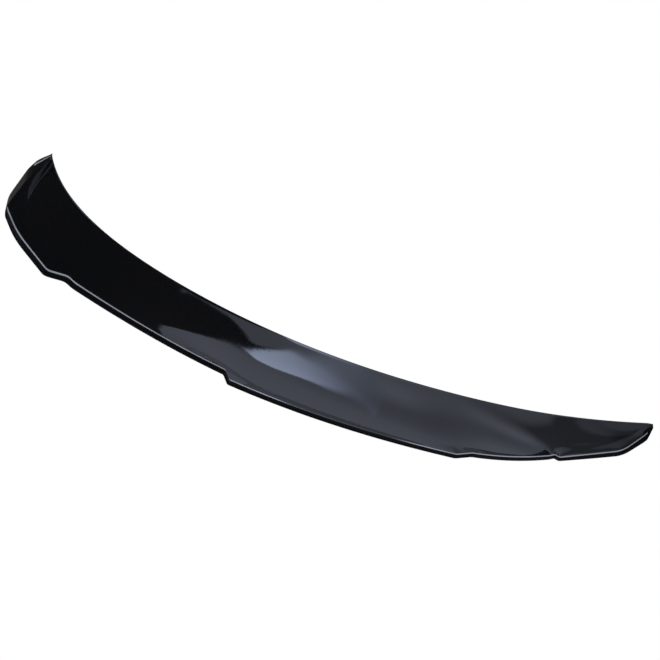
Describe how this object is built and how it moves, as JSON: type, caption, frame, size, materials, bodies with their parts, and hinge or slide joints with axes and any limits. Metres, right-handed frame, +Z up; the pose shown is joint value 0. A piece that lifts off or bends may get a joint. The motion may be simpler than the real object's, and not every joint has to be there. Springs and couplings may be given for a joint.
{
  "type": "car rear spoiler",
  "caption": "Boot-lid rear spoiler: thin-walled gloss black moulding with a concave front face, sharp swept lip, stepped base edge and pointed tips.",
  "frame": {"origin": "middle of the base edge, on the line where the front skin meets the boot lid", "axes": "+X across the car, +Y to the car's rear, +Z up; the lip lies level at its height above the base edge"},
  "size_m": [1.168, 0.189, 0.1044],
  "materials": {
    "gloss_black": "piano black, high gloss"
  },
  "bodies": {
    "root": {"spoiler": "gloss_black"}
  },
  "joints": []
}
